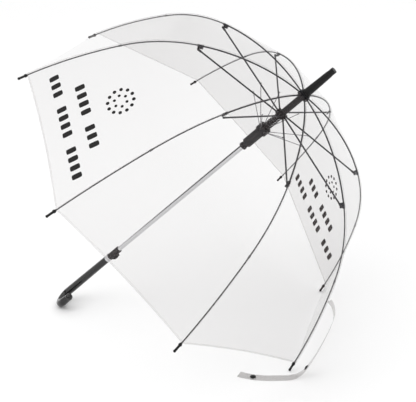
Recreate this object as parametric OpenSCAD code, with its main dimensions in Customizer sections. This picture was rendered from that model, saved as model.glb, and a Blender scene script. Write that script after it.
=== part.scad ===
// Clear dome umbrella, open, lying on two rib tips and the crook of its handle.
// Every piece is drawn upright about the shaft, with the rib hinge circle at height 0,
// and stand() then leans the whole umbrella over and lifts it on to the floor.

/* [Dome] */
// Radius of the rib's curve from the crown to the stretcher joint
crown_arc_r = 420; // [415:1:425]
// Slope of the rib at the stretcher joint, in degrees
joint_slope = 30; // [29:0.5:31]
// Radius of the rib's curve over the shoulder
shoulder_arc_r = 310; // [300:1:320]
// Slope of the rib where the shoulder ends, in degrees
shoulder_slope = 57; // [56:0.5:58]
// Radius of the rib's curve down the skirt
skirt_arc_r = 980; // [900:10:1050]
// Slope of the rib at its tip, in degrees
tip_slope = 68.5; // [68:0.5:69]
// Thickness of the canopy film, with its coating
film_t = 0.5; // [0.4:0.1:0.8]

/* [Ribs and stretchers] */
// Radius of the channel rib from the crown to the stretcher joint
rib_r = 1.5; // [1.3:0.1:1.6]
// Radius of the springy rod from the stretcher joint to the tip
rod_r = 1.3; // [1.1:0.1:1.4]
// Radius of a stretcher
stretcher_r = 1.6; // [1.4:0.1:1.7]
// Radius of a brace wire
brace_r = 0.75; // [0.6:0.05:0.8]
// Distance along the stretcher at which its brace meets it
brace_reach = 66; // [62:1:68]

/* [Shaft and runners] */
// Radius of the shaft
shaft_r = 5; // [4.9:0.05:5]
// Wall of the shaft tube
shaft_wall = 0.9; // [0.7:0.1:1.2]
// Depth of the stretcher hinges below the crown when open
stretcher_hinge_z = 60; // [59:0.5:61]
// Depth of the brace hinges below the crown when open
brace_hinge_z = 108; // [107:0.5:109]
// Depth of the runner's lower end below the crown when open
runner_end_z = 168; // [166:1:172]
// Number of turns of the opening spring
spring_turns = 13; // [11:1:14]

/* [Handle] */
// Angle of the shaft above the floor, in degrees
shaft_tilt = 41.5; // [41.5:0.5:42]
// Depth of the release collar's top below the crown
collar_z = 562; // [558:1:566]
// Radius of the grip at the crook
grip_r = 9; // [8.5:0.25:9.5]
// Radius of the grip where it meets its ring
grip_top_r = 7.8; // [7.5:0.1:8]
// Radius of the crook's bend
crook_r = 20; // [19:0.5:21]
// Direction that the crook points round the shaft, in degrees
crook_turn = -80; // [-90:5:-60]

/* [Trim] */
// Width of the closing strap
strap_w = 18; // [14:1:24]
// Length of the ferrule on top of the crown
ferrule_h = 73; // [65:1:80]
// Radius of the ferrule's straight tip
ferrule_tip_r = 6.2; // [5.8:0.1:6.5]
// Distance that the release button travels
button_travel = 2.2; // [1.5:0.1:2.4]

/* [Hidden] */
$fn = 48;
RIBS = 8;
NUMBERS = ["1", "2", "3", "4", "5", "6", "7", "8"];

fine = 180;                       // facets on the long curves of the ribs
run_gap = 0.08;                   // running clearance on the shaft
fit_gap = 0.05;                   // clearance of parts that are pushed together
eps = 0.01;

hinge_r = 9;                      // radius of the rib hinge circle
notch_top = 2.6;
notch_bottom = -5;
notch_r = 12.5;
wire_r = 0.55;
film_gap = 3.2;                   // from a rib's centre line to the canopy film

// The rib's centre line is three tangent arcs, each given by its centre and radius
arc_centres = [
    [hinge_r, -crown_arc_r],
    [hinge_r, -crown_arc_r] + (crown_arc_r - shoulder_arc_r) * slope_normal(joint_slope),
    [hinge_r, -crown_arc_r] + (crown_arc_r - shoulder_arc_r) * slope_normal(joint_slope)
        + (shoulder_arc_r - skirt_arc_r) * slope_normal(shoulder_slope)];
function slope_normal(a) = [sin(a), cos(a)];
function slope_tangent(a) = [cos(a), -sin(a)];
function arc_index(a) = a <= joint_slope ? 0 : a <= shoulder_slope ? 1 : 2;
function arc_radius(i) = i == 0 ? crown_arc_r : i == 1 ? shoulder_arc_r : skirt_arc_r;
function rib_point(a, lift = 0) =
    arc_centres[arc_index(a)] + (arc_radius(arc_index(a)) + lift) * slope_normal(a);

rib_joint = rib_point(joint_slope);
rib_end = rib_point(tip_slope);
tip_reach = 14;                   // from the rod's end to the centre of the tip's ball
tip_ball_r = 2.7;
tip_centre = rib_end + tip_reach * slope_tangent(tip_slope);

// The stretcher swings in a plane beside its rib, so that the two can cross as they fold
stretcher_side = 3.5;
stretcher_hinge = [9.6, -stretcher_hinge_z];
lug_drop = 6.5;                   // from the rib's centre line down to the stretcher joint
stretcher_joint = rib_joint - lug_drop * slope_normal(joint_slope);
stretcher_run = stretcher_joint - stretcher_hinge;
stretcher_len = norm(stretcher_run);
stretcher_dip = -atan2(stretcher_run[1], stretcher_run[0]);

brace_hinge = [11.5, -brace_hinge_z];
brace_joint = stretcher_hinge + brace_reach * slope_tangent(stretcher_dip);
brace_run = brace_joint - brace_hinge;
brace_len = norm(brace_run);
brace_rise = atan2(brace_run[1], brace_run[0]);

// The floor touches two rib tips and the crook, which gives the handle its length
half_step = 180 / RIBS;
rest_height = cos(shaft_tilt) * tip_centre[0] * cos(half_step)
    - sin(shaft_tilt) * tip_centre[1] + tip_ball_r;
crook_lean = cos(shaft_tilt) * cos(crook_turn);
crook_drop = norm([crook_lean, sin(shaft_tilt)]);
grip_end_z = (rest_height - crook_r * (crook_lean + crook_drop) - grip_r) / sin(shaft_tilt);
collar_h = 32;
ring_h = 10;
grip_start_z = collar_z + collar_h + ring_h;
shaft_top = 60;
shaft_bottom = -(grip_start_z + 86);

// The origin lies on the floor below the middle of the object
plan_centre = [-241.05, 0];

// The strap's centre line hangs from the skirt of one rib and then lies on the floor
strap_t = 0.8;
strap_path = [
    [73.2, -131, 153], [79, -134, 147], [83, -137, 137], [84, -140, 124], [80, -144, 108],
    [73, -149, 90], [63, -155, 68], [52, -161, 46], [41, -167, 27], [30, -173, 12],
    [17, -179, 3.4], [2, -185, 0.6], [-16, -190, 0.6], [-36, -195, 0.6], [-56, -198, 0.6],
    [-77, -198, 0.6], [-96, -195, 0.6]];
stud_spans = [8, 14];              // each stud stands midway from this station to the next
function strap_way(i) =
    strap_path[min(i + 1, len(strap_path) - 1)] - strap_path[max(i - 1, 0)];
function strap_face(i) =
    let (d = strap_way(i)) [-d[2], 0, d[0]] / norm([d[0], d[2]]);

module stand() {
    translate([-plan_centre[0], -plan_centre[1], rest_height])
        rotate([0, 90 - shaft_tilt, 0])
            children();
}

module at_rib(i) {
    rotate([0, 0, half_step + i * 2 * half_step])
        children();
}

module each_rib() {
    for (i = [0 : RIBS - 1])
        at_rib(i)
            children();
}

module at_point(p, side = 0) {
    translate([p[0], side, p[1]])
        children();
}

// A cylinder across the rib's plane, centred on it
module cross_pin(r, w) {
    rotate([90, 0, 0])
        cylinder(r = r, h = w, center = true);
}

// A round rod from the origin, dipping below level by the angle a
module level_rod(r, from, to, a) {
    rotate([0, 90 + a, 0])
        translate([0, 0, from])
            cylinder(r = r, h = to - from);
}

// A round rod along the rib's centre line between two slopes on one arc
module arc_rod(i, from, to, r) {
    at_point(arc_centres[i])
        rotate([90, 0, 0])
            rotate([0, 0, 90 - to])
                rotate_extrude(angle = to - from, $fn = fine)
                    translate([arc_radius(i), 0])
                        circle(r = r, $fn = 48);
}

module ring_wire(ring_r, r) {
    rotate_extrude(angle = 360, $fn = 96)
        translate([ring_r, 0])
            circle(r = r, $fn = 32);
}

// A coil of round wire as one closed tube
module coil(turns, coil_r, height, r, per_turn = 12, sides = 6) {
    rings = turns * per_turn;
    points = [for (i = [0 : rings]) for (j = [0 : sides - 1])
        let (a = 360 * i / per_turn, b = 360 * j / sides, w = coil_r + r * cos(b))
        [w * cos(a), w * sin(a), height * i / rings + r * sin(b)]];
    sides_of = [for (i = [0 : rings - 1]) for (j = [0 : sides - 1])
        let (n = (j + 1) % sides, p = i * sides, q = p + sides)
        [p + j, q + j, q + n, p + n]];
    ends = [[for (j = [0 : sides - 1]) j], [for (j = [sides - 1 : -1 : 0]) rings * sides + j]];
    polyhedron(points = points, faces = concat(sides_of, ends));
}

module shaft() {
    color("gainsboro")
        stand()
            translate([0, 0, shaft_bottom])
                difference() {
                    cylinder(r = shaft_r, h = shaft_top - shaft_bottom);
                    translate([0, 0, -1])
                        cylinder(r = shaft_r - shaft_wall, h = shaft_top - shaft_bottom + 2);
                }
}

washer_z = film_gap + film_t + 0.1;
washer_h = 0.9;
ferrule_z = washer_z + washer_h + fit_gap;

module ferrule() {
    flange_h = 3;
    plug_h = 12;
    color("black")
        stand()
            translate([0, 0, ferrule_z])
                difference() {
                    union() {
                        cylinder(r = 9.6, h = flange_h);
                        translate([0, 0, flange_h - eps])
                            cylinder(r1 = 8.3, r2 = 6.7, h = ferrule_h - flange_h - plug_h);
                        translate([0, 0, ferrule_h - plug_h - 1])
                            cylinder(r = ferrule_tip_r, h = plug_h + 1);
                    }
                    translate([0, 0, -1])
                        cylinder(r = shaft_r + fit_gap, h = shaft_top - ferrule_z + 1.2);
                }
}

module crown_washer() {
    color("dimgray")
        stand()
            translate([0, 0, washer_z])
                difference() {
                    cylinder(r = 11.5, h = washer_h);
                    translate([0, 0, -1])
                        cylinder(r = shaft_r + fit_gap, h = 3);
                }
}

module crown_notch() {
    slot_w = 2 * rib_r + 0.4;
    color("dimgray")
        stand()
            difference() {
                translate([0, 0, notch_bottom])
                    cylinder(r = notch_r, h = notch_top - notch_bottom);
                translate([0, 0, notch_bottom - 1])
                    cylinder(r = shaft_r + fit_gap, h = 12);
                each_rib()
                    translate([6.5, -slot_w / 2, notch_bottom - 1])
                        cube([10, slot_w, 12]);
                ring_wire(hinge_r, wire_r + fit_gap);
            }
}

module notch_wire() {
    color("silver")
        stand()
            ring_wire(hinge_r, wire_r);
}

// The skin of a four-sided strip with stations 0 to last, closed at both ends
function strip_faces(last) = concat(
    [for (i = [0 : last - 1]) for (j = [0 : 3])
        let (n = (j + 1) % 4, p = 4 * i, q = p + 4)
        [p + j, p + n, q + n, q + j]],
    [[3, 2, 1, 0]], [[for (j = [0 : 3]) 4 * last + j]]);

// Eight film panels, each flat across between two ribs, that meet at welds over the ribs
module canopy() {
    weld_gap = 0.02;
    hem_slope = tip_slope - 0.35;
    slopes = concat([for (i = [0 : 3]) i * joint_slope / 4],
                    [for (i = [0 : 3]) joint_slope + i * (shoulder_slope - joint_slope) / 3],
                    [(shoulder_slope + hem_slope) / 2, hem_slope]);
    points = [for (a = slopes) for (c = [[-1, 0], [1, 0], [1, film_t], [-1, film_t]])
        let (p = rib_point(a, film_gap + c[1]))
        [p[0] * cos(half_step), c[0] * (p[0] * sin(half_step) - weld_gap), p[1]]];
    color("whitesmoke", 0.4)
        stand()
            for (k = [0 : RIBS - 1])
                rotate([0, 0, 2 * half_step * k])
                    polyhedron(points = points, faces = strip_faces(len(slopes) - 1));
}

collar_r = 7.2;
box_reach = 11;
pocket_floor = 5.8;
button_z = -(collar_z + 17);
button_h = 9.6;
button_w = 5;
button_start = 8.4;
button_end = 13;
slide_gap = 0.12;

module at_button() {
    rotate([0, 0, -35])
        translate([0, 0, button_z])
            children();
}

module release_collar() {
    color("dimgray")
        stand()
            difference() {
                union() {
                    translate([0, 0, -collar_z - collar_h])
                        cylinder(r = collar_r, h = collar_h);
                    at_button()
                        translate([0, -button_w / 2 - 1.4, -button_h / 2 - 4])
                            cube([box_reach, button_w + 2.8, button_h + 8]);
                }
                translate([0, 0, -collar_z - collar_h - 1])
                    cylinder(r = shaft_r + fit_gap, h = collar_h + 2);
                at_button()
                    translate([pocket_floor, -button_w / 2 - slide_gap, -button_h / 2 - slide_gap])
                        cube([box_reach, button_w + 2 * slide_gap, button_h + 2 * slide_gap]);
            }
}

module release_button() {
    color("black")
        stand()
            at_button()
                translate([button_start, -button_w / 2, -button_h / 2])
                    cube([button_end - button_start, button_w, button_h]);
}

module button_spring() {
    color("silver")
        stand()
            at_button()
                translate([pocket_floor + 0.3, 0, 0])
                    rotate([0, 90, 0])
                        coil(3, 1.5, button_start - pocket_floor - 0.6, 0.2);
}

module handle_ring() {
    color("silver")
        stand()
            translate([0, 0, -grip_start_z])
                difference() {
                    cylinder(r = 8, h = ring_h);
                    translate([0, 0, -1])
                        cylinder(r = shaft_r + fit_gap, h = ring_h + 2);
                }
}

module handle() {
    hook_len = 20;
    color("black")
        stand()
            rotate([0, 0, crook_turn])
                difference() {
                    union() {
                        translate([0, 0, -grip_end_z])
                            cylinder(r1 = grip_r, r2 = grip_top_r, h = grip_end_z - grip_start_z);
                        translate([crook_r, 0, -grip_end_z])
                            rotate([90, 0, 0])
                                rotate([0, 0, 180])
                                    rotate_extrude(angle = 180, $fn = 96)
                                        translate([crook_r, 0])
                                            circle(r = grip_r);
                        translate([2 * crook_r, 0, -grip_end_z])
                            cylinder(r1 = grip_r, r2 = 7.8, h = hook_len);
                        translate([2 * crook_r, 0, -grip_end_z + hook_len])
                            sphere(r = 8.4);
                    }
                    translate([0, 0, shaft_bottom - 1])
                        cylinder(r = shaft_r + fit_gap, h = 200);
                }
}

// A flat strip along the path, with its width held level
module closing_strap() {
    last = len(strap_path) - 1;
    points = [for (i = [0 : last]) for (c = [[-1, -1], [1, -1], [1, 1], [-1, 1]])
        strap_path[i] + [0, c[0] * strap_w / 2, 0] + c[1] * strap_t / 2 * strap_face(i)];
    color("whitesmoke", 0.6)
        translate([-plan_centre[0], -plan_centre[1], 0])
            polyhedron(points = points, faces = strip_faces(last));
}

// Two press studs that stand on the strap's upper face
module strap_studs() {
    color("black")
        translate([-plan_centre[0], -plan_centre[1], 0])
            for (s = stud_spans)
                let (way = strap_path[s + 1] - strap_path[s])
                    translate((strap_path[s] + strap_path[s + 1]) / 2)
                        rotate([0, atan2(way[2], -way[0]), 0])
                            translate([0, 0, strap_t / 2])
                                union() {
                                    cylinder(r = 5.5, h = 1.2);
                                    cylinder(r = 3, h = 2.6);
                                }
}

hub_r = 12;
hub_h = 10;
neck_r = 6.6;
slot_floor = 7.2;

// The hub has a slot for each stretcher and a shallow groove beside it for the folded brace
module upper_runner() {
    slot_w = 2 * stretcher_r + 0.5;
    groove_w = 2 * brace_r + 0.7;
    color("dimgray")
        stand()
            difference() {
                union() {
                    translate([0, 0, -stretcher_hinge_z])
                        cylinder(r = neck_r, h = stretcher_hinge_z + notch_bottom - 0.3);
                    translate([0, 0, -stretcher_hinge_z - hub_h / 2])
                        cylinder(r = hub_r, h = hub_h);
                }
                translate([0, 0, -stretcher_hinge_z - hub_h])
                    cylinder(r = shaft_r + run_gap, h = 100);
                each_rib()
                    translate([slot_floor, stretcher_side - slot_w / 2, -stretcher_hinge_z - hub_h])
                        cube([10, slot_w, 2 * hub_h]);
                each_rib()
                    translate([10.6, -groove_w / 2, -stretcher_hinge_z - hub_h])
                        cube([10, groove_w, 2 * hub_h]);
                each_rib()
                    at_point(stretcher_hinge, stretcher_side)
                        cross_pin(0.75, 2 * (stretcher_r + 1.2));
            }
}

module stretcher_pins() {
    color("silver")
        stand()
            each_rib()
                at_point(stretcher_hinge, stretcher_side)
                    cross_pin(0.7, 2 * (stretcher_r + 1.1));
}

cup_r = 9;
cup_floor = -128;
fin_top = 6;
fin_r = 13;

module runner() {
    slot_w = 2 * brace_r + 0.7;
    body_end = -runner_end_z + 12;
    color("dimgray")
        stand()
            difference() {
                union() {
                    translate([0, 0, -brace_hinge_z - 9])
                        cylinder(r = fin_r, h = 9 + fin_top);
                    translate([0, 0, body_end])
                        cylinder(r = 10.2, h = -brace_hinge_z - 8 - body_end);
                    translate([0, 0, -runner_end_z + 3])
                        cylinder(r = 7.2, h = 10);
                    translate([0, 0, -runner_end_z])
                        cylinder(r = 8.2, h = 4);
                }
                translate([0, 0, -runner_end_z - 1])
                    cylinder(r = shaft_r + run_gap, h = 80);
                translate([0, 0, cup_floor])
                    cylinder(r = cup_r, h = 60);
                each_rib()
                    translate([9.7, -slot_w / 2, -brace_hinge_z - 6])
                        cube([10, slot_w, 30]);
                translate([0, 0, -brace_hinge_z])
                    ring_wire(brace_hinge[0], wire_r + fit_gap);
            }
}

module runner_wire() {
    color("silver")
        stand()
            translate([0, 0, -brace_hinge_z])
                ring_wire(brace_hinge[0], wire_r);
}

spring_wire_r = 0.9;
spring_top = -stretcher_hinge_z - hub_h / 2 - 0.1 - spring_wire_r;
spring_bottom = cup_floor + 0.1 + spring_wire_r;

module opening_spring() {
    color("dimgray")
        stand()
            translate([0, 0, spring_bottom])
                coil(spring_turns, 7.4, spring_top - spring_bottom, spring_wire_r);
}

ear_w = 0.8;
eye_w = 1.5;
ear_gap = 0.1;
root_w = 2.4;
wire_hole_r = wire_r + 0.1;
joint_pin_r = 0.9;

// The channel rib ends in a fork that holds the rod's eye and the lug for the stretcher
module rib(i) {
    ear_mid = eye_w / 2 + ear_gap + ear_w / 2;
    color("darkslategray")
        stand()
            at_rib(i)
                difference() {
                    union() {
                        arc_rod(0, 0, joint_slope - 0.75, rib_r);
                        at_point([hinge_r, 0])
                            cross_pin(2.1, root_w);
                        for (s = [-1, 1])
                            at_point(rib_joint, s * ear_mid)
                                rotate([0, joint_slope, 0])
                                    translate([-9, -ear_w / 2, -3])
                                        cube([11.5, ear_w, 4.6]);
                        at_point(rib_joint)
                            rotate([0, joint_slope, 0])
                                translate([-9, -ear_mid, -3])
                                    cube([4.5, 2 * ear_mid, 4.6]);
                        at_point(rib_joint)
                            cross_pin(joint_pin_r, 2 * ear_mid + ear_w);
                        at_point(stretcher_joint)
                            cross_pin(2.2, eye_w);
                        at_point(rib_joint)
                            rotate([0, joint_slope, 0])
                                translate([-8, -eye_w / 2, -lug_drop])
                                    cube([9.5, eye_w, 3.2]);
                        at_point(rib_joint)
                            rotate([0, joint_slope, 0])
                                translate([-8.5, -eye_w / 2, -lug_drop])
                                    cube([3.5, eye_w, 6]);
                    }
                    at_point([hinge_r, 0])
                        cross_pin(wire_hole_r, 10);
                }
}

// The springy rod has a small collar at the shoulder, where the film is tied to it
module rib_rod(i) {
    clear_slope = 0.65;           // the round rod starts clear of the fork
    color("darkslategray")
        stand()
            at_rib(i)
                difference() {
                    union() {
                        arc_rod(1, joint_slope + clear_slope, shoulder_slope, rod_r);
                        arc_rod(2, shoulder_slope, tip_slope, rod_r);
                        at_point(rib_point(shoulder_slope))
                            rotate([0, shoulder_slope, 0])
                                level_rod(rod_r + 0.5, -3, 3, 0);
                        at_point(rib_joint)
                            cross_pin(2, eye_w);
                        at_point(rib_joint)
                            rotate([0, joint_slope, 0])
                                translate([0, -eye_w / 2, -1.2])
                                    cube([5, eye_w, 2.4]);
                    }
                    at_point(rib_joint)
                        cross_pin(joint_pin_r + fit_gap, 10);
                }
}

module rib_tip(i) {
    sleeve = 8;
    color("black")
        stand()
            at_rib(i)
                at_point(rib_end)
                    rotate([0, 90 + tip_slope, 0])
                        difference() {
                            union() {
                                translate([0, 0, 0.3 - 3])
                                    cylinder(r = 3.3, h = 3);
                                translate([0, 0, -sleeve + 3])
                                    cylinder(r = 2.3, h = tip_reach + sleeve - 3);
                                translate([0, 0, tip_reach])
                                    sphere(r = tip_ball_r);
                            }
                            translate([0, 0, -sleeve - 1])
                                cylinder(r = rod_r + fit_gap, h = sleeve + 1.1);
                        }
}

module stretcher(i) {
    eye_r = 1.9;
    blade_w = 2;
    color("darkslategray")
        stand()
            at_rib(i)
                at_point(stretcher_hinge, stretcher_side)
                    difference() {
                        union() {
                            level_rod(stretcher_r, 1.2, stretcher_len - 3, stretcher_dip);
                            cross_pin(eye_r, 2 * stretcher_r);
                            rotate([0, stretcher_dip, 0])
                                translate([stretcher_len, 0, 0])
                                    cross_pin(2.2, blade_w);
                            rotate([0, stretcher_dip, 0])
                                translate([stretcher_len - 8, -blade_w / 2, -1.9])
                                    cube([8, blade_w, 3.8]);
                        }
                        cross_pin(0.75, 10);
                    }
}

module brace(i) {
    color("gray")
        stand()
            at_rib(i)
                at_point(brace_hinge)
                    difference() {
                        union() {
                            level_rod(brace_r, 0.8, brace_len, -brace_rise);
                            cross_pin(1.6, 2 * brace_r);
                            rotate([0, -brace_rise, 0])
                                translate([brace_len, 0, 0])
                                    cross_pin(1.5, 2 * brace_r);
                        }
                        cross_pin(wire_hole_r, 10);
                    }
}

shaft();
ferrule();
crown_washer();
crown_notch();
notch_wire();
canopy();
release_collar();
handle_ring();
handle();
closing_strap();
strap_studs();
upper_runner();
stretcher_pins();
runner();
runner_wire();
opening_spring();
release_button();
button_spring();
for (i = [0 : RIBS - 1]) {
    rib(i);
    rib_rod(i);
    rib_tip(i);
    stretcher(i);
    brace(i);
}
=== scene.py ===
import bpy
import numpy as np
from mathutils import Matrix, Vector


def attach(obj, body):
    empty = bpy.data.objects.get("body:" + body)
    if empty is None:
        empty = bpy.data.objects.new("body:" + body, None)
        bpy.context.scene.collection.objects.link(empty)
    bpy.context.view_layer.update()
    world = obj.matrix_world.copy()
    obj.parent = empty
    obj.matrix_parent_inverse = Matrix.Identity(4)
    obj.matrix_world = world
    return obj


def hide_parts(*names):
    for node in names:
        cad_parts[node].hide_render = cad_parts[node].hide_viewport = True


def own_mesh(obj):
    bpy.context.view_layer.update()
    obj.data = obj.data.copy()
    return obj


# Clear dome umbrella, open and lying on two rib tips and its crook.
# Every new piece but the strap is worked out upright about the shaft, with the rib hinges at height 0,
# and then leant over.

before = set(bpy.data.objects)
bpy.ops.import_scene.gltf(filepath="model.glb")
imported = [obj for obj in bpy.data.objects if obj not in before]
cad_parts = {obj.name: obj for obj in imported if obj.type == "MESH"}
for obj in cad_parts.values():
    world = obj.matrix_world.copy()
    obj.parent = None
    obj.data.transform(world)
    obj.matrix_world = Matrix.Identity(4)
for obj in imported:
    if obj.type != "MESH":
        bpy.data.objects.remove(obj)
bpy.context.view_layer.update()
print("stage: frame loaded")

umbrella = {
    "tilt": 41.5,            # shaft above the floor, degrees
    "restHeight": 0.5202563, # rib hinge circle above the floor
    "planX": -0.24105,       # middle of the umbrella, measured from below the crown
    "ribCount": 8,
    "hingeR": 0.009,
    "crownArc": 0.420,
    "shoulderArc": 0.310,
    "skirtArc": 0.980,
    "jointSlope": 30.0,
    "shoulderSlope": 57.0,
    "tipSlope": 68.5,
}
ribNumbers = range(1, umbrella["ribCount"] + 1)
tilt = np.radians(umbrella["tilt"])
shaftWay = np.array([np.cos(tilt), 0.0, np.sin(tilt)])
halfStep = np.pi / umbrella["ribCount"]


def toRow(points):
    # upright umbrella to the floor frame: turn about Y by 90 degrees less the tilt, lift, and centre in plan
    x, y, z = points[..., 0], points[..., 1], points[..., 2]
    return np.stack([x * np.sin(tilt) + z * np.cos(tilt) - umbrella["planX"], y,
                     z * np.sin(tilt) - x * np.cos(tilt) + umbrella["restHeight"]], -1)


def ribAzimuth(number):
    return halfStep * (2 * number - 1)


def slopeNormal(slope):
    a = np.radians(slope)
    return np.stack([np.sin(a), np.cos(a)], -1)


def ribLine(slope, lift=0.0):
    # (radius, height) on three tangent arcs: the arc's centre, plus its radius and the lift
    # along the slope's normal
    slope = np.asarray(slope, float)
    u = umbrella
    c0 = np.array([u["hingeR"], -u["crownArc"]])
    c1 = c0 + (u["crownArc"] - u["shoulderArc"]) * slopeNormal(u["jointSlope"])
    c2 = c1 + (u["shoulderArc"] - u["skirtArc"]) * slopeNormal(u["shoulderSlope"])
    onCrown = (slope <= u["jointSlope"])[..., None]
    onShoulder = (slope <= u["shoulderSlope"])[..., None]
    centre = np.where(onCrown, c0, np.where(onShoulder, c1, c2))
    radius = np.where(onCrown, u["crownArc"], np.where(onShoulder, u["shoulderArc"], u["skirtArc"]))
    return centre + (radius + lift) * slopeNormal(slope)


def around(planar, azimuth):
    # (radius, side, height) in a plane through the shaft at that azimuth
    r, s, z = planar[..., 0], planar[..., 1], planar[..., 2]
    return np.stack([r * np.cos(azimuth) - s * np.sin(azimuth),
                     r * np.sin(azimuth) + s * np.cos(azimuth), z], -1)


# ---- meshes


def makeObject(name, points, faces, material, smooth=True, uv=None):
    mesh = bpy.data.meshes.new(name)
    mesh.from_pydata(points.tolist(), [], faces)
    mesh.polygons.foreach_set("use_smooth", np.full(len(mesh.polygons), smooth))
    if uv is not None:
        corner = np.empty(len(mesh.loops), int)
        mesh.loops.foreach_get("vertex_index", corner)
        mesh.uv_layers.new(name="spread").data.foreach_set("uv", uv[corner].ravel())
    mesh.materials.append(material)
    mesh.update()
    piece = bpy.data.objects.new(name, mesh)
    bpy.context.scene.collection.objects.link(piece)
    return piece


def gridFaces(rows, cols, around=False, first=0):
    # quads between neighbouring rows and columns, closing the last column to the first for a tube
    index = first + np.arange(rows * cols).reshape(rows, cols)
    here = index if around else index[:, :-1]
    beside = np.roll(index, -1, 1) if around else index[:, 1:]
    return np.stack([here[:-1], beside[:-1], beside[1:], here[1:]], -1).reshape(-1, 4).tolist()


def sheetObject(name, grid, material, uv=None):
    rows, cols = grid.shape[:2]
    return makeObject(name, grid.reshape(-1, 3), gridFaces(rows, cols), material,
                      uv=None if uv is None else uv.reshape(-1, 2))


def tubeObject(name, grid, material):
    # rings closed round and capped at both ends
    rows, cols = grid.shape[:2]
    faces = gridFaces(rows, cols, True)
    faces.append(list(range(cols))[::-1])
    faces.append([(rows - 1) * cols + j for j in range(cols)])
    return makeObject(name, grid.reshape(-1, 3), faces, material)


def patchesObject(name, grids, material):
    # many small grids, all of one size, in one mesh
    count, rows, cols = grids.shape[:3]
    step = rows * cols
    one = np.array(gridFaces(rows, cols))
    faces = (one[None] + step * np.arange(count)[:, None, None]).reshape(-1, 4).tolist()
    return makeObject(name, grids.reshape(-1, 3), faces, material)


def sweep(path, profile, sideWay):
    # the profile's (across, out) offsets carried along the path: across is sideWay made square to the path,
    # and out is square to both
    along = np.gradient(path, axis=0)
    along /= np.linalg.norm(along, axis=1, keepdims=True)
    side = np.broadcast_to(sideWay, path.shape)
    side = side - (side * along).sum(1, keepdims=True) * along
    side = side / np.linalg.norm(side, axis=1, keepdims=True)
    out = np.cross(along, side)
    across, outward = profile[None, :, 0, None], profile[None, :, 1, None]
    return path[:, None] + across * side[:, None] + outward * out[:, None]


def roundProfile(radius, sides=12):
    a = 2 * np.pi * np.arange(sides) / sides
    return radius * np.stack([np.cos(a), np.sin(a)], -1)


def spreadPath(path, count):
    # a smooth curve through the path's points: cubic between neighbours, slopes from the points beside
    path = np.asarray(path, float)
    before, after = path[0] * 2 - path[1], path[-1] * 2 - path[-2]
    knots = np.vstack([before, path, after])
    t = np.linspace(0, len(path) - 1, count)
    i = np.minimum(t.astype(int), len(path) - 2)
    f = (t - i)[:, None]
    p0, p1, p2, p3 = knots[i], knots[i + 1], knots[i + 2], knots[i + 3]
    return 0.5 * (2 * p1 + (p2 - p0) * f + (2 * p0 - 5 * p1 + 4 * p2 - p3) * f ** 2
                  + (3 * p1 - p0 - 3 * p2 + p3) * f ** 3)


# ---- finishes


def finish(name, colour, roughness, metallic=0.0, coat=0.0, gloss=0.5,
           grain=(400.0, 0.15), bump=0.0, shade=0.12):
    # one surface whose tone and roughness vary with a noise on Object coordinates, with a fine relief;
    # grain is the noise's scale and its share of the roughness
    mat = bpy.data.materials.new(name)
    mat.use_nodes = True
    nodes, links = mat.node_tree.nodes, mat.node_tree.links
    surface = nodes["Principled BSDF"]
    surface.inputs["Metallic"].default_value = metallic
    surface.inputs["Coat Weight"].default_value = coat
    surface.inputs["Specular IOR Level"].default_value = gloss
    place = nodes.new("ShaderNodeTexCoord")
    speck = nodes.new("ShaderNodeTexNoise")
    speck.inputs["Scale"].default_value = grain[0]
    speck.inputs["Detail"].default_value = 4.0
    links.new(place.outputs["Object"], speck.inputs["Vector"])
    tone = nodes.new("ShaderNodeMix")
    tone.data_type = "RGBA"
    tone.inputs["A"].default_value = (*[c * (1 - shade) for c in colour], 1)
    tone.inputs["B"].default_value = (*[min(1.0, c * (1 + shade)) for c in colour], 1)
    links.new(speck.outputs["Fac"], tone.inputs["Factor"])
    links.new(tone.outputs["Result"], surface.inputs["Base Color"])
    rub = nodes.new("ShaderNodeMapRange")
    rub.inputs["To Min"].default_value = max(0.02, roughness * (1 - grain[1]))
    rub.inputs["To Max"].default_value = min(1.0, roughness * (1 + grain[1]))
    links.new(speck.outputs["Fac"], rub.inputs["Value"])
    links.new(rub.outputs["Result"], surface.inputs["Roughness"])
    if bump:
        relief = nodes.new("ShaderNodeBump")
        relief.inputs["Strength"].default_value = 0.4
        relief.inputs["Distance"].default_value = bump
        links.new(speck.outputs["Fac"], relief.inputs["Height"])
        links.new(relief.outputs["Normal"], surface.inputs["Normal"])
    return mat


filmLook = {
    "colour": (0.13, 0.10, 0.095),
    "roughness": 0.10,
    "face": 0.105,        # cover where the film is seen square on
    "edge": 0.12,         # cover where it turns away
    "hemShade": 1.5,       # painted shade: the film is drawn this many times denser at the hem than at the crown
    "hemShadeFrom": 0.33,    # where the painted hem shade starts and where it is full, slope / 90
    "hemShadeTo": 0.76,
    "lean": 0.35,
    "ripple": (9.0, 1.5, 0.25, 0.004),  # noise scale and detail, relief strength and depth
}


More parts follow.
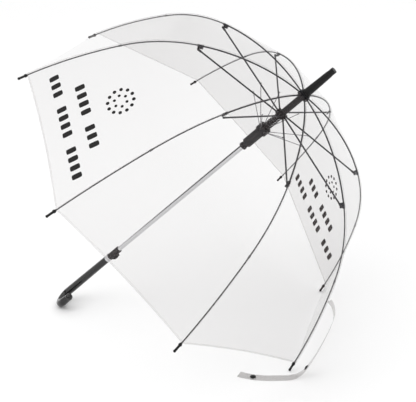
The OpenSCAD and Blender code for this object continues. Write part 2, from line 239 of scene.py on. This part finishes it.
def clearFilm(name, face, edge, hemShade=1.0):
    # a thin clear film: seen square on it is nearly nothing, and it greys and shines towards its edges;
    # towards its hem it is drawn denser as painted shade
    mat = finish(name, filmLook["colour"], filmLook["roughness"], grain=(7.0, 0.3), shade=0.05)
    nodes, links = mat.node_tree.nodes, mat.node_tree.links
    surface = nodes["Principled BSDF"]
    lean = nodes.new("ShaderNodeLayerWeight")
    lean.inputs["Blend"].default_value = filmLook["lean"]
    share = nodes.new("ShaderNodeMapRange")
    share.inputs["To Min"].default_value = face
    share.inputs["To Max"].default_value = edge
    links.new(lean.outputs["Facing"], share.inputs["Value"])
    place = nodes.new("ShaderNodeTexCoord")
    if hemShade > 1:
        # painted shade: the film's cover grows from the crown towards the hem, by the slope held in the UV
        spread = nodes.new("ShaderNodeSeparateXYZ")
        links.new(place.outputs["UV"], spread.inputs["Vector"])
        hemShadeGain = nodes.new("ShaderNodeMapRange")
        hemShadeGain.inputs["From Min"].default_value = filmLook["hemShadeFrom"]
        hemShadeGain.inputs["From Max"].default_value = filmLook["hemShadeTo"]
        hemShadeGain.inputs["To Min"].default_value = 1.0
        hemShadeGain.inputs["To Max"].default_value = hemShade
        links.new(spread.outputs["Y"], hemShadeGain.inputs["Value"])
        whole = nodes.new("ShaderNodeMath")
        whole.operation = "MULTIPLY"
        links.new(share.outputs["Result"], whole.inputs[0])
        links.new(hemShadeGain.outputs["Result"], whole.inputs[1])
        links.new(whole.outputs[0], surface.inputs["Alpha"])
    else:
        links.new(share.outputs["Result"], surface.inputs["Alpha"])
    scale, detail, strength, depth = filmLook["ripple"]
    ripple = nodes.new("ShaderNodeTexNoise")
    ripple.inputs["Scale"].default_value = scale
    ripple.inputs["Detail"].default_value = detail
    relief = nodes.new("ShaderNodeBump")
    relief.inputs["Strength"].default_value = strength
    relief.inputs["Distance"].default_value = depth
    links.new(place.outputs["Object"], ripple.inputs["Vector"])
    links.new(ripple.outputs["Fac"], relief.inputs["Height"])
    links.new(relief.outputs["Normal"], surface.inputs["Normal"])
    return mat


film = clearFilm("clearFilm", filmLook["face"], filmLook["edge"], filmLook["hemShade"])
welded = clearFilm("weldedFilm", 0.08, 0.30)
strapFilm = clearFilm("strapFilm", 0.12, 0.34)
printInk = finish("printInk", (0.012, 0.011, 0.011), 0.55, gloss=0.15, grain=(900.0, 0.2))
shaftSteel = finish("shaftSteel", (0.62, 0.62, 0.63), 0.12, metallic=1.0, grain=(1200.0, 0.35), shade=0.04)
wireSteel = finish("wireSteel", (0.30, 0.30, 0.31), 0.26, metallic=1.0, grain=(1500.0, 0.3))
springSteel = finish("springSteel", (0.02, 0.02, 0.022), 0.32, metallic=0.3, gloss=0.3, grain=(1500.0, 0.3))
ribSteel = finish("ribSteel", (0.045, 0.047, 0.052), 0.30, metallic=0.8, grain=(900.0, 0.3), bump=0.00003)
rodSteel = finish("rodSteel", (0.13, 0.132, 0.138), 0.22, metallic=0.95, grain=(900.0, 0.3), bump=0.00003)
greyMoulding = finish("greyMoulding", (0.016, 0.016, 0.018), 0.42, gloss=0.3,
                      grain=(1800.0, 0.25), bump=0.00005)
blackMoulding = finish("blackMoulding", (0.006, 0.006, 0.006), 0.36, gloss=0.25,
                       grain=(1800.0, 0.25), bump=0.00004)
blackGloss = finish("blackGloss", (0.006, 0.0055, 0.0055), 0.16, gloss=0.4, coat=0.3, grain=(60.0, 0.3))


def paint(names, material):
    for name in names:
        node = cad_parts[name]
        node.data.materials.clear()
        node.data.materials.append(material)


paint(["shaft", "handle_ring"], shaftSteel)
paint(["notch_wire", "stretcher_pins", "runner_wire", "button_spring"], wireSteel)
paint(["crown_washer", "crown_notch", "upper_runner", "runner", "release_collar"],
      greyMoulding)
paint(["ferrule", "release_button"] + [f"rib_tip_{n}" for n in ribNumbers], blackMoulding)
paint(["handle"], blackGloss)
paint([f"rib_{n}" for n in ribNumbers] + [f"stretcher_{n}" for n in ribNumbers], ribSteel)
paint([f"rib_rod_{n}" for n in ribNumbers], rodSteel)
paint([f"brace_{n}" for n in ribNumbers], wireSteel)
print("stage: finishes")

# ---- canopy film

canopy = {
    "lift": 0.00345,      # from the rib's centre line to the film
    "startSlope": 1.2,    # where the film passes under the washer
    "endSlope": 68.15,    # the hem at a rib
    "hemRise": 0.25,      # how far the hem draws up between ribs, degrees of the skirt's curve
    "sag": 0.0030,        # how far the taut film draws in between ribs
    "hemWidth": 0.004,
    "seamWidth": 0.0032,
    "keep": 0.05,         # share of each gore's width to keep beside its rib
}


def panelPoint(slope, side, lift=0.0):
    # film between two ribs, in the plane of the panel's middle: straight across at each height,
    # and drawn in by a parabola
    line = ribLine(slope, canopy["lift"] + lift)
    half = line[..., 0] * np.sin(halfStep)
    fromMiddle = np.clip(np.abs(side) / half, 0, 1)
    grow = np.clip(slope / umbrella["shoulderSlope"], 0, 1) ** 2
    draw = canopy["sag"] * grow * (1 - fromMiddle ** 2)
    a = np.radians(slope)
    return np.stack([line[..., 0] * np.cos(halfStep) - draw * np.sin(a), side,
                     line[..., 1] - draw * np.cos(a)], -1)


def gorePoint(number, slope, across, lift=0.0):
    # across runs from -1 to 1 over the two half panels beside a rib
    turn = np.where(across < 0, -1.0, 1.0)
    half = ribLine(slope, canopy["lift"] + lift)[..., 0] * np.sin(halfStep)
    local = panelPoint(slope, -turn * (1 - np.abs(across)) * half, lift)
    return toRow(around(local, ribAzimuth(number) + turn * halfStep))


def hemSlope(across):
    # the hem rises along a parabola from rib to mid panel
    return canopy["endSlope"] - canopy["hemRise"] * (1 - (1 - np.abs(across)) ** 2)


def foldBeside(piece, body):
    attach(piece, body)
    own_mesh(piece)


def gridArea(grid):
    # sum of the areas of the grid's cells, each the cross product of its diagonals halved
    d1, d2 = grid[1:, 1:] - grid[:-1, :-1], grid[1:, :-1] - grid[:-1, 1:]
    return 0.5 * np.linalg.norm(np.cross(d1, d2), axis=-1).sum()


def goreGrid(number, fromSlope, toSlope, rows, cols, lift=0.0):
    across = np.linspace(-1, 1, cols)[None, :]
    share = np.linspace(0, 1, rows)[:, None]
    last = hemSlope(across) if toSlope is None else toSlope
    across = across + 0 * share
    slope = fromSlope + (last - fromSlope) * share + 0 * across
    return slope, across, gorePoint(number, slope, across, lift)


for number in ribNumbers:
    joint = umbrella["jointSlope"]
    parts = []
    for label, start, end, body, rows in (("crown", canopy["startSlope"], joint, f"rib_{number}", 25),
                                          ("skirt", joint, None, f"rib_rod_{number}", 49)):
        slope, across, grid = goreGrid(number, start, end, rows, 21)
        uv = np.stack([across * 0.5 + 0.5, slope / 90], -1)
        piece = sheetObject(f"film_{label}_{number}", grid, film, uv)
        area = gridArea(grid)
        width = np.linalg.norm(grid[-1, -1] - grid[-1, 10]) + np.linalg.norm(grid[-1, 0] - grid[-1, 10])
        length = np.linalg.norm(np.diff(grid[:, 10], axis=0), axis=1).sum()
        parts.append((piece, body, width, length, area))

    # the weld over the rib, a narrow doubled strip on the film
    for label, start, end, body in (("crown", canopy["startSlope"], joint, f"rib_{number}"),
                                    ("skirt", joint, canopy["endSlope"], f"rib_rod_{number}")):
        slope = np.linspace(start, end, 60)
        half = ribLine(slope, canopy["lift"])[..., 0] * np.sin(halfStep)
        reach = np.minimum(0.5 * canopy["seamWidth"] / half, 0.8)
        offs = np.array([-1.0, 0.0, 1.0])
        grid = gorePoint(number, slope[:, None] + 0 * offs, reach[:, None] * offs, 0.0004)
        seam = sheetObject(f"rib_weld_{label}_{number}", grid, welded)
        foldBeside(seam, body)

    # the folded and welded hem
    across = np.linspace(-1, 1, 41)
    last = hemSlope(across)
    width = np.degrees(canopy["hemWidth"] / umbrella["skirtArc"])
    slope = last[None, :] - width * np.linspace(0, 1, 3)[:, None]
    grid = gorePoint(number, slope, across[None, :] + 0 * slope, 0.0004)
    hem = sheetObject(f"hem_{number}", grid[::-1], welded)
    foldBeside(hem, f"rib_rod_{number}")
    for piece, body, width, length, area in parts:
        foldBeside(piece, body)
        if number == 1:
            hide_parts("canopy")
print("stage: canopy")

# ---- print: rows of plain bars and two dotted rings on two opposite panels

printed = {
    "panels": ((5, 6), (1, 2)),
    "rows": (  # (middle's distance from the hem, bar height, run lengths in bars)
        (0.052, 0.0200, (3, 4, 4)),
        (0.096, 0.0200, (4, 3)),
    ),
    "barPitch": 0.0190,
    "barWidth": 0.0112,
    "runGap": 0.0190,
    "rings": ((12, 0.0250, 0.0036), (6, 0.0125, 0.0030)),  # (dots, ring radius, dot radius)
    "ringsFromHem": 0.163,
}


def panelPatch(middleSide, fromHem, wide, tall):
    # a small rounded patch on the film: a square with bowed sides, with its middle at those distances
    # across the panel and up from the hem
    steps = np.linspace(-1, 1, 5)
    u, v = np.meshgrid(steps, steps)
    square = np.stack([u * np.sqrt(1 - 0.18 * v ** 4), v * np.sqrt(1 - 0.18 * u ** 4)], -1)
    side = middleSide[:, None, None] + 0.5 * wide * square[..., 0]
    rise = fromHem[:, None, None] + 0.5 * tall * square[..., 1]
    slope = canopy["endSlope"] - np.degrees(rise / umbrella["skirtArc"])
    return panelPoint(slope, side, 0.0006)


def discPatch(middleSide, fromHem, radius):
    # a round patch: the square grid drawn in to a circle
    steps = np.linspace(-1, 1, 5)
    u, v = np.meshgrid(steps, steps)
    side = middleSide[:, None, None] + radius * u * np.sqrt(1 - v ** 2 / 2)
    rise = fromHem[:, None, None] + radius * v * np.sqrt(1 - u ** 2 / 2)
    slope = canopy["endSlope"] - np.degrees(rise / umbrella["skirtArc"])
    return panelPoint(slope, side, 0.0006)


def printPanel(first, second):
    middle = 0.5 * (ribAzimuth(first) + ribAzimuth(second))
    patches, sides = [], []
    for fromHem, tall, runs in printed["rows"]:
        total = sum(runs) * printed["barPitch"] + (len(runs) - 1) * printed["runGap"]
        run = np.repeat(np.arange(len(runs)), runs)
        side = (np.arange(sum(runs)) + 0.5) * printed["barPitch"] + run * printed["runGap"] - total / 2
        patches.append(panelPatch(side, np.full_like(side, fromHem), printed["barWidth"], tall))
        sides.append(side)
    for count, radius, dot in printed["rings"]:
        a = 2 * np.pi * (np.arange(count) + 0.5) / count
        side = radius * np.sin(a)
        patches.append(discPatch(side, printed["ringsFromHem"] + radius * np.cos(a), dot))
        sides.append(side)
    grids, side = np.concatenate(patches), np.concatenate(sides)
    for number, chosen in ((first, side < 0), (second, side >= 0)):
        piece = patchesObject(f"print_{number}", toRow(around(grids[chosen], middle)), printInk)
        foldBeside(piece, f"rib_rod_{number}")


for pair in printed["panels"]:
    printPanel(*pair)
print("stage: print")

# ---- opening spring, wound finer than the frame's

spring = {"turns": 13, "radius": 0.0074, "wire": 0.00115, "top": -0.0663, "bottom": -0.1267, "keep": 0.455}
turn = np.linspace(0, 2 * np.pi * spring["turns"], spring["turns"] * 36 + 1)
height = spring["bottom"] + (spring["top"] - spring["bottom"]) * turn / turn[-1]
helix = np.stack([spring["radius"] * np.cos(turn), spring["radius"] * np.sin(turn), height], -1)
wound = sweep(toRow(helix), roundProfile(spring["wire"], 10), shaftWay)
coil = tubeObject("wound_spring", wound, springSteel)
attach(coil, "runner")
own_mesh(coil)
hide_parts("opening_spring")
print("stage: spring")

# ---- closing strap, a welded ribbon with two press studs

strap = {
    "width": 0.018,
    "thickness": 0.0008,
    "path": [(73.2, -131, 153), (79, -134, 147), (83, -137, 137), (84, -140, 124), (80, -144, 108),
             (73, -149, 90), (63, -155, 68), (52, -161, 46), (41, -167, 27), (30, -173, 12), (17, -179, 3.4),
             (2, -185, 0.9), (-16, -190, 0.7), (-36, -195, 0.7), (-56, -198, 0.7), (-77, -198, 0.7),
             (-96, -195, 0.7)],  # millimetres, from below the crown
    "studs": (8, 14),     # each stud stands midway from this point to the next
}
strapKnots = np.array(strap["path"]) / 1000 - np.array([umbrella["planX"], 0, 0])
strapLine = spreadPath(strapKnots, 160)
corner = np.array([(-1, -0.6), (-0.97, -1), (0, -1), (0.97, -1), (1, -0.6),
                   (1, 0.6), (0.97, 1), (0, 1), (-0.97, 1), (-1, 0.6)])
section = corner * 0.5 * np.array([strap["width"], strap["thickness"]])
ribbon = tubeObject("strap_ribbon", sweep(strapLine, section, np.array([0.0, 1.0, 0.0])), strapFilm)
foldBeside(ribbon, "rib_rod_8")
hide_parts("closing_strap")


def studProfile():
    # radius and height of a press stud: a rimmed disc with a domed post
    return np.array([(0.0, 0.0), (5.5, 0.0), (5.7, 0.5), (5.2, 1.1), (4.2, 1.2),
                     (3.3, 1.1), (3.1, 1.6), (2.9, 2.2), (2.2, 2.6), (0.0, 2.7)]) / 1000


def turned(profile, sides=32):
    # a profile of radius and height spun about its axis
    a = 2 * np.pi * np.arange(sides) / sides
    r, z = profile[:, None, 0], profile[:, None, 1]
    return np.stack([r * np.cos(a), r * np.sin(a), z + 0 * a], -1)


studGrid = turned(np.maximum(studProfile(), [1e-5, 0]))
for label, knot in zip(("inner", "outer"), strap["studs"]):
    way = strapKnots[knot + 1] - strapKnots[knot]  # the stud stands square to the strap, on its upper face
    seat = (strapKnots[knot + 1] + strapKnots[knot]) / 2
    lean = np.arctan2(way[2], -way[0])
    upright = studGrid + np.array([0, 0, 0.5 * strap["thickness"]])
    leant = np.stack([upright[..., 0] * np.cos(lean) + upright[..., 2] * np.sin(lean), upright[..., 1],
                      upright[..., 2] * np.cos(lean) - upright[..., 0] * np.sin(lean)], -1)
    stud = tubeObject(f"press_stud_{label}", leant + seat, blackMoulding)
    foldBeside(stud, "rib_rod_8")
    if label == "outer":
        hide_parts("strap_studs")

# ---- floor, light and camera

stageSet = {
    "floorTone": 0.95,
    "floorReach": 30.0,
    "world": 1.26,
    "tent": ((0.20, (0.86, 0.86, 0.865)), (0.25, (0.06, 0.06, 0.06)),  # (height on the sky, colour)
             (0.38, (0.08, 0.08, 0.08)), (0.58, (1.0, 1.0, 1.0))),
    "lamps": (("keyLight", (-1.6, -1.2, 2.6), 2.2, 12.0),   # (name, place, size, power)
              ("fillLight", (2.4, -0.6, 2.2), 2.6, 5.0)),
    "lampAim": (0, 0, 0.3),
}
floorMat = finish("paleFloor", (stageSet["floorTone"],) * 3, 0.9, grain=(3.0, 0.05), shade=0.004)
floorCorners = stageSet["floorReach"] * np.array([(-1, -1, 0), (1, -1, 0), (1, 1, 0), (-1, 1, 0)], float)
floor = makeObject("floor", floorCorners, [[0, 1, 2, 3]], floorMat, smooth=False)
for name, spot, size, power in stageSet["lamps"]:
    lamp = bpy.data.lights.new(name, "AREA")
    lamp.energy, lamp.size = power, size
    holder = bpy.data.objects.new(name, lamp)
    holder.location = spot
    aim = Vector(stageSet["lampAim"]) - Vector(spot)
    holder.rotation_euler = aim.to_track_quat("-Z", "Y").to_euler()
    bpy.context.scene.collection.objects.link(holder)

world = bpy.data.worlds.new("softStudio")
world.use_nodes = True
sky = world.node_tree.nodes["Background"]
sky.inputs["Strength"].default_value = stageSet["world"]
# a bright tent with a dark band part way up, so that metal picks up darker edges
heading = world.node_tree.nodes.new("ShaderNodeTexCoord")
axes = world.node_tree.nodes.new("ShaderNodeSeparateXYZ")
tent = world.node_tree.nodes.new("ShaderNodeValToRGB")
stops = tent.color_ramp.elements
for number, (height, colour) in enumerate(stageSet["tent"]):
    stop = stops[0] if number == 0 else stops.new(height)
    stop.position = height
    stop.color = (*colour, 1)
stops.remove(stops[-1])
world.node_tree.links.new(heading.outputs["Generated"], axes.inputs["Vector"])
world.node_tree.links.new(axes.outputs["Z"], tent.inputs["Fac"])
world.node_tree.links.new(tent.outputs["Color"], sky.inputs["Color"])
bpy.context.scene.world = world
bpy.context.scene.view_settings.view_transform = "Standard"

shot = {
    "place": (0.5798, -1.5899, 1.0315),
    "look": (-0.29594, 0.86414, -0.40704),
    "up": (-0.07429, 0.40402, 0.91173),
    "lens": 76.36,
}
look, up = Vector(shot["look"]).normalized(), Vector(shot["up"])
right = look.cross(up).normalized()
up = right.cross(look)
camera = bpy.data.objects.new("camera", bpy.data.cameras.new("camera"))
camera.data.lens = shot["lens"]
camera.data.sensor_width = 36.0
camera.data.sensor_fit = "HORIZONTAL"
camera.data.clip_end = 200.0
camera.matrix_world = Matrix.Translation(shot["place"]) @ Matrix((right, up, -look)).transposed().to_4x4()
bpy.context.scene.collection.objects.link(camera)
bpy.context.scene.camera = camera
print("stage: floor, light and camera")
